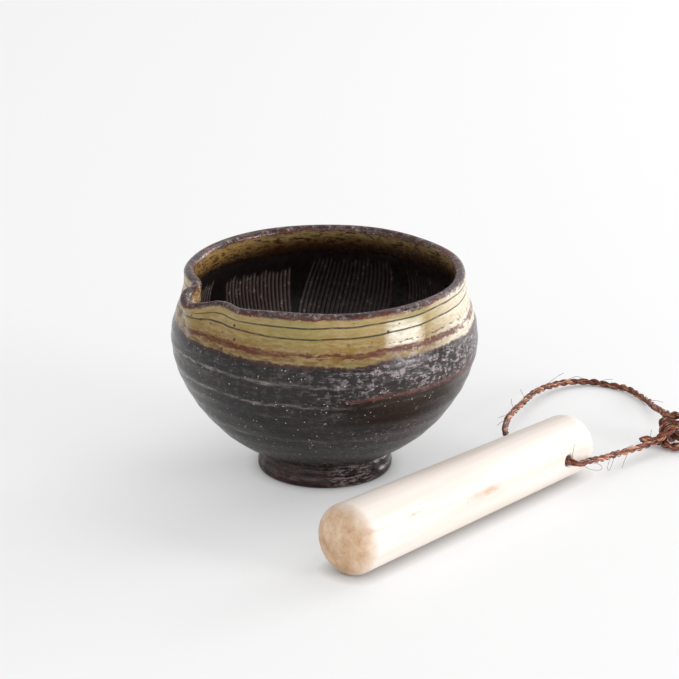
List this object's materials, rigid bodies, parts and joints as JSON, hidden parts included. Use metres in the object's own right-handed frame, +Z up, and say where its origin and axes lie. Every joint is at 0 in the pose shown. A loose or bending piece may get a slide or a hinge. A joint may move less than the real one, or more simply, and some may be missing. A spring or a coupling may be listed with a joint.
{
  "type": "grinding bowl with wooden pestle",
  "caption": "Glazed stoneware grinding bowl with a pinched spout and comb-scored inside, with a wooden pestle that hangs by a knotted fibre loop.",
  "frame": {"origin": "on the surface that the bowl stands on, under the middle of the box round bowl and pestle", "axes": "+X to the right, +Y away from the front, +Z up"},
  "size_m": [0.2257, 0.2111, 0.085],
  "materials": {
    "glazed_stoneware": "gloss",
    "pale_wood": "satin",
    "palm_fibre": "matt"
  },
  "bodies": {
    "mortar": {"mortar_bowl": "glazed_stoneware"},
    "pestle": {"pestle": "pale_wood"},
    "cord": {"cord_in_hole": "palm_fibre", "cord_near_run": "palm_fibre", "cord_far_run": "palm_fibre", "cord_knot": "palm_fibre"}
  },
  "joints": [
    {"name": "pestle_lift", "type": "slide", "parent": "mortar", "child": "pestle", "axis": [0, 0, 1], "range_m": [0, 0.12]},
    {"name": "cord_swing", "type": "hinge", "parent": "pestle", "child": "cord", "pos_m": [0.06552, 0.00938, 0.01208], "axis": [0.7501, -0.6613, 0], "range_deg": [0, 60]}
  ]
}
